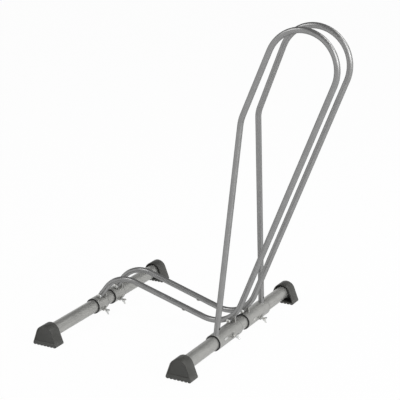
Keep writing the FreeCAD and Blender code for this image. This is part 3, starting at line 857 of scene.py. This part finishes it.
# Base axis, Y, and angle above +X.
SCREWS = {
    "near": {"rear": (REAR_X, -46.4, 2), "front": (FRONT_X, -26.4, -30)},
    "far": {"rear": (REAR_X, 77.2, -18), "front": (FRONT_X, 37.2, -26)},
}
for side, places in SCREWS.items():
    nuts = [copy_to(weld_nut, on_base(*spot, 90)) for spot in places.values()]
    fit(f"{side}_welded_nuts", f"{side}_frame", slot_of[f"{side}_weld_nuts"], nuts,
        f"{side}_weld_nuts")
    beads = [copy_to(nut_bead, on_base(*spot)) for spot in places.values()]
    fit(f"{side}_nut_beads", f"{side}_frame", slot_of[f"{side}_rear_sleeve"], beads)

# %% Beads at the tabs and the legs
tab_bead = bead_bar("tab_bead", 16, 0.6)
leg_bead = bead_ring("leg_bead", 6.1, 0.7)
TABS = {
    "near": [(REAR_X, -17.0, 96.25), (FRONT_X, -19.8, 68.37)],
    "far": [(REAR_X, 42.2, 96.25), (FRONT_X, 43.8, 68.37)],
}
LEG_FEET = {"near": (REAR_X, -91.6, 76.0), "far": (REAR_X, 103.6, 76.0)}
for side, places in TABS.items():
    beads = [copy_to(leg_bead, on_base(*LEG_FEET[side]))]
    for x, y, angle in places:
        beads.append(copy_to(tab_bead, on_base(x, y, angle)))
        beads.append(copy_to(tab_bead, on_base(x, y + TAB, angle)))
    fit(f"{side}_weld_beads", f"{side}_frame", slot_of[f"{side}_rear_sleeve"], beads)

# %% [markdown]
# ## Wing screws
#
# A wing screw is a casting: a hub with two ears that flare outwards and up, on a threaded shank.
# An ear starts as a box in the hub and is extruded outwards four times, each time scaled and
# raised; a subdivision surface then rounds it like a cast lever. The other ear is its mirror
# image, and the thread is a small diamond carried up a screw line by the Screw modifier.

# %% Wing screw hub and ears
SCREW_TIP = 14.4
SCREW_R = 2.7
HUB_LOW = 25.0
EAR_WIDE = 4.6
EAR_TALL = 4.2
EAR_ROOT = 0.9
EAR_RISE = 2.0
# Outwards, up, and then the shares of its width and its height that each step keeps.
EAR_STEPS = ((2.2, 0.6, 0.9, 1.05), (2.0, 1.7, 0.92, 1.2), (1.5, 1.3, 1.0, 0.95),
             (0.35, 0.3, 0.8, 0.75))

hub = turned("hub", [
    (2.2, SCREW_TIP), (SCREW_R, SCREW_TIP + 0.5), (SCREW_R, HUB_LOW),
    (3.7, HUB_LOW), (4.2, HUB_LOW + 0.5), (4.2, HUB_LOW + 1.6),
    (3.9, HUB_LOW + 2.8), (3.3, HUB_LOW + 3.7), (2.3, HUB_LOW + 4.2), (1.0, HUB_LOW + 4.4),
])

put_down()
bpy.ops.mesh.primitive_cube_add(size=1.0 * MM, location=(0, 0, 0))
ears = bpy.context.object
bpy.ops.object.mode_set(mode="EDIT")
bpy.ops.transform.resize(value=(1.0, EAR_WIDE, EAR_TALL))
shift(EAR_ROOT, 0, HUB_LOW + EAR_RISE)
pick(ears, lambda place: place.x > EAR_ROOT + 0.3)
for out, rise, wide, tall in EAR_STEPS:
    extrude(out, 0, rise)
    bpy.ops.transform.resize(value=(1, wide, tall))
bpy.ops.mesh.select_all(action="SELECT")
bpy.ops.mesh.duplicate()
bpy.ops.transform.resize(value=(-1, 1, 1), center_override=(0, 0, 0))
finish_mesh(ears, 180)
soften = ears.modifiers.new("cast", "SUBSURF")
soften.levels = soften.render_levels = 3
take(ears)
bpy.ops.object.modifier_apply(modifier=soften.name)

# %% Wing screw thread
RIDGE = 0.42
RIDGE_R = 2.6
THREAD_PITCH = 1.0
THREAD_TURNS = 10

put_down()
bpy.ops.mesh.primitive_circle_add(
    vertices=4, radius=RIDGE * MM, fill_type="NOTHING", location=(0, 0, 0))
ridge = bpy.context.object
bpy.ops.object.mode_set(mode="EDIT")
bpy.ops.transform.rotate(value=math.pi / 2, orient_axis="X", center_override=(0, 0, 0))
shift(RIDGE_R, 0, SCREW_TIP + 0.6)
bpy.ops.object.mode_set(mode="OBJECT")
climb = ridge.modifiers.new("climb", "SCREW")
climb.steps = climb.render_steps = 20
climb.screw_offset = THREAD_PITCH * MM
climb.iterations = THREAD_TURNS
bpy.ops.object.modifier_apply(modifier=climb.name)
bpy.ops.object.mode_set(mode="EDIT")
finish_mesh(ridge, 40)

# %% Wing screws at their places
WING_TURN = 20
for side, places in SCREWS.items():
    for base, spot in places.items():
        matrix = on_base(*spot, WING_TURN)
        parts = [copy_to(model, matrix) for model in (hub, ears, ridge)]
        node_name = f"{side}_{base}_wing_screw"
        fit(f"{node_name}_casting", f"{side}_{base}_screw", "wing_screw_zinc", parts, node_name)

# %% Put the models away
models = (deep_bush, short_bush, valley_bolt, arch_bolt, frame_nut, rail_model, set_model,
          key_model, weld_nut, nut_bead, tab_bead, leg_bead, hub, ears, ridge)
for model in models:
    bpy.data.objects.remove(model)
print(len(models), "models put away")

# %% [markdown]
# ## Studio
#
# The picture was taken on a white sweep: white below and behind up to about a third of the way
# up the sky, and a darker room above it. A tube shows the room as a darker band along its upper
# flank. The floor is white to the camera and to what glossy surfaces mirror, and still takes the
# rack's soft shadow.

# %% Floor
FLOOR_SIZE = 24.0
FLOOR_COLOUR = (0.93, 0.93, 0.93, 1)
FLOOR_WHITE = 0.97


def white_to_camera(tree, shader_socket, share):
    """Mixes this share of plain white into a shader, for camera, glossy and transmission rays."""
    rays = tree.nodes.new("ShaderNodeLightPath")
    seen = Sock(tree, rays.outputs["Is Camera Ray"])
    for kind in ("Is Glossy Ray", "Is Transmission Ray"):
        seen = seen.math("MAXIMUM", Sock(tree, rays.outputs[kind]))
    glow = tree.nodes.new("ShaderNodeEmission")
    mixer = tree.nodes.new("ShaderNodeMixShader")
    tree.links.new((seen * share).socket, mixer.inputs[0])
    tree.links.new(shader_socket, mixer.inputs[1])
    tree.links.new(glow.outputs[0], mixer.inputs[2])
    return mixer.outputs[0]


put_down()
bpy.ops.mesh.primitive_plane_add(size=FLOOR_SIZE, location=(0, 0, 0))
floor = bpy.context.object
floor.name = "studio_floor"
floor_finish, floor_shader, _ = new_finish(
    "studio_floor", Base_Color=FLOOR_COLOUR, Roughness=0.9, Specular_IOR_Level=0.1)
floor_tree = floor_finish.node_tree
floor_end = floor_tree.nodes["Material Output"].inputs["Surface"]
floor_tree.links.new(
    white_to_camera(floor_tree, floor_shader.outputs[0], FLOOR_WHITE), floor_end)
floor.data.materials.append(floor_finish)

# %% [markdown]
# ## World and lamps
#
# The world's brightness depends only on height, from 0 at the horizon to 1 overhead. Three
# softboxes shape the rack: the largest and strongest on the right, where the light comes from in
# the picture, and two weaker ones on the left and behind, which draw the thin light lines along
# the hoops.

# %% World
SWEEP_TOP = (0.36, 0.44)
SKY_STRENGTH = 0.5
SKY_STOPS = [
    (0.0, (1, 1, 1, 1)),
    (0.38, (1, 1, 1, 1)),
    (0.46, (0.24, 0.24, 0.24, 1)),
    (0.97, (0.40, 0.40, 0.40, 1)),
]

world = bpy.data.worlds.new("studio")
bpy.context.scene.world = world
world.use_nodes = True
sky = world.node_tree
sky.nodes.clear()
direction = sky.nodes.new("ShaderNodeTexCoord").outputs["Generated"]
split = sky.nodes.new("ShaderNodeSeparateXYZ")
sky.links.new(direction, split.inputs[0])
height = Sock(sky, split.outputs["Z"])
level = height.node("ShaderNodeValToRGB", {"stops": SKY_STOPS}, {"Fac": height})
low_sky = 1.0 - height.band(*SWEEP_TOP)
backdrop = sky.nodes.new("ShaderNodeBackground")
sky.links.new(level.socket, backdrop.inputs["Color"])
backdrop.inputs["Strength"].default_value = SKY_STRENGTH
out = sky.nodes.new("ShaderNodeOutputWorld")
sky.links.new(white_to_camera(sky, backdrop.outputs[0], low_sky), out.inputs["Surface"])

# %% Lamps
def soft_lamp(name, place, target, size, power):
    """Square area lamp aimed at a point."""
    data = bpy.data.lights.new(name, "AREA")
    data.shape = "SQUARE"
    data.size = size
    data.energy = power
    lamp = bpy.data.objects.new(name, data)
    bpy.context.scene.collection.objects.link(lamp)
    lamp.location = place
    aimed = (Vector(target) - Vector(place)).to_track_quat("-Z", "Y")
    lamp.rotation_euler = aimed.to_euler()
    print(name, power, "W")


soft_lamp("left_softbox", (-1.5, -1.35, 2.35), (0, 0, 0.25), size=1.2, power=20)
soft_lamp("back_softbox", (1.3, 1.1, 2.1), (0, 0, 0.2), size=1.2, power=20)
soft_lamp("right_softbox", (2.8, -0.6, 1.5), (0, 0, 0.25), size=2.2, power=60)
bpy.context.scene.view_settings.view_transform = "Standard"
